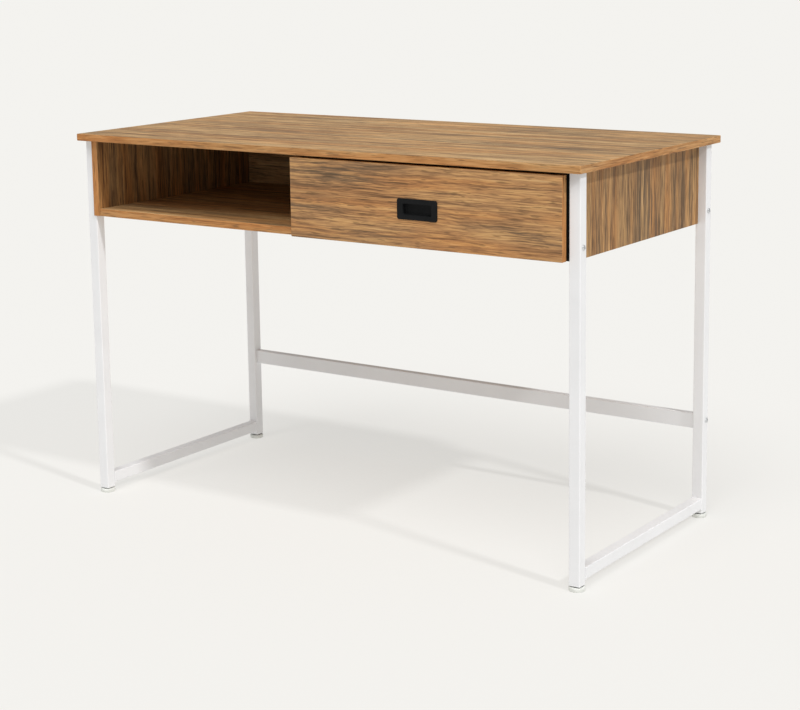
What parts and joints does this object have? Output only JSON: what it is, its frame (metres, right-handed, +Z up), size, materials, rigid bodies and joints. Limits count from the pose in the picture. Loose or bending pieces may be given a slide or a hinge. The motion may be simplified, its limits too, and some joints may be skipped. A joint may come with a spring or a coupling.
{
  "type": "writing desk",
  "caption": "Rectangular writing desk: wood-decor top and apron box with an open shelf bay and a drawer, on white square-tube side frames with levelling feet.",
  "frame": {"origin": "on the floor, at the middle of the footprint", "axes": "+X along the desk to the user's right, -Y towards the user, +Z up"},
  "size_m": [1.17, 0.56, 0.76],
  "materials": {
    "decor_flat": "rustic oak melamine decor, grain along the length, matched edge banding",
    "decor_upright": "rustic oak melamine decor, grain upright, matched edge banding",
    "back_board_decor": "plain oak melamine decor on the inner back board",
    "drawer_decor": "pale printed decor on the drawer box boards",
    "white_powder": "satin white powder coat on square steel tube",
    "pale_plastic": "pale grey moulded plastic foot",
    "dark_plastic": "black moulded plastic plug",
    "black_pull": "matt black moulded recessed pull",
    "zinc_steel": "zinc plated steel fastener",
    "runner_steel": "white lacquered folded steel runner",
    "roller_nylon": "natural nylon roller",
    "beech": "plain beech dowel"
  },
  "bodies": {
    "carcass": {"tabletop": "decor_flat", "bottom_board": "decor_flat", "side_panel_left": "decor_upright", "side_panel_right": "decor_upright", "divider": "decor_upright", "back_board": "back_board_decor", "leg_front_left": "white_powder", "leg_plug_front_left": "dark_plastic", "leg_bolt_front_left": "zinc_steel", "insert_nut_front_left": "zinc_steel", "leg_back_left": "white_powder", "leg_plug_back_left": "dark_plastic", "leg_bolt_back_left": "zinc_steel", "insert_nut_back_left": "zinc_steel", "floor_rail_left": "white_powder", "stretcher_block_left": "dark_plastic", "stretcher_bolt_left": "zinc_steel", "cabinet_runner_left": "runner_steel", "leg_front_right": "white_powder", "leg_plug_front_right": "dark_plastic", "leg_bolt_front_right": "zinc_steel", "insert_nut_front_right": "zinc_steel", "leg_back_right": "white_powder", "leg_plug_back_right": "dark_plastic", "leg_bolt_back_right": "zinc_steel", "insert_nut_back_right": "zinc_steel", "floor_rail_right": "white_powder", "stretcher_block_right": "dark_plastic", "stretcher_bolt_right": "zinc_steel", "cabinet_runner_right": "runner_steel", "back_stretcher": "white_powder", "dowel_left_front": "beech", "dowel_left_back": "beech", "dowel_middle_front": "beech", "dowel_middle_back": "beech", "dowel_right_front": "beech", "dowel_right_back": "beech"},
    "drawer": {"drawer_front": "decor_flat", "drawer_side_left": "drawer_decor", "drawer_side_right": "drawer_decor", "drawer_back": "drawer_decor", "drawer_bottom": "drawer_decor", "drawer_pull": "black_pull", "pull_screw_left": "zinc_steel", "pull_screw_right": "zinc_steel", "drawer_runner_left": "runner_steel", "drawer_runner_right": "runner_steel"},
    "cabinet_roller_left": {"cabinet_roller_left": "roller_nylon"},
    "drawer_roller_left": {"drawer_roller_left": "roller_nylon"},
    "cabinet_roller_right": {"cabinet_roller_right": "roller_nylon"},
    "drawer_roller_right": {"drawer_roller_right": "roller_nylon"},
    "foot_front_left": {"foot_front_left": "pale_plastic"},
    "foot_front_right": {"foot_front_right": "pale_plastic"},
    "foot_back_left": {"foot_back_left": "pale_plastic"},
    "foot_back_right": {"foot_back_right": "pale_plastic"}
  },
  "joints": [
    {"name": "drawer_slide", "type": "slide", "parent": "carcass", "child": "drawer", "axis": [0, -1, 0], "range_m": [0, 0.3]},
    {"name": "cabinet_roller_left_turn", "type": "hinge", "parent": "carcass", "child": "cabinet_roller_left", "pos_m": [-0.01415, -0.2435, 0.6352], "axis": [1, 0, 0], "range_deg": [0, 1500]},
    {"name": "drawer_roller_left_turn", "type": "hinge", "parent": "drawer", "child": "drawer_roller_left", "pos_m": [-0.01415, 0.1223, 0.6335], "axis": [1, 0, 0], "range_deg": [0, 1500]},
    {"name": "cabinet_roller_right_turn", "type": "hinge", "parent": "carcass", "child": "cabinet_roller_right", "pos_m": [0.5366, -0.2435, 0.6352], "axis": [1, 0, 0], "range_deg": [0, 1500]},
    {"name": "drawer_roller_right_turn", "type": "hinge", "parent": "drawer", "child": "drawer_roller_right", "pos_m": [0.5366, 0.1223, 0.6335], "axis": [1, 0, 0], "range_deg": [0, 1500]},
    {"name": "foot_front_left_screw", "type": "slide", "parent": "carcass", "child": "foot_front_left", "axis": [0, 0, -1], "range_m": [-0.0017, 0.008]},
    {"name": "foot_front_right_screw", "type": "slide", "parent": "carcass", "child": "foot_front_right", "axis": [0, 0, -1], "range_m": [-0.0017, 0.008]},
    {"name": "foot_back_left_screw", "type": "slide", "parent": "carcass", "child": "foot_back_left", "axis": [0, 0, -1], "range_m": [-0.0017, 0.008]},
    {"name": "foot_back_right_screw", "type": "slide", "parent": "carcass", "child": "foot_back_right", "axis": [0, 0, -1], "range_m": [-0.0017, 0.008]}
  ],
  "couplings": [
    {"joint": "cabinet_roller_left_turn", "follows": "drawer_slide", "rad_per_m": 86.957},
    {"joint": "drawer_roller_left_turn", "follows": "drawer_slide", "rad_per_m": 86.957},
    {"joint": "cabinet_roller_right_turn", "follows": "drawer_slide", "rad_per_m": 86.957},
    {"joint": "drawer_roller_right_turn", "follows": "drawer_slide", "rad_per_m": 86.957}
  ]
}
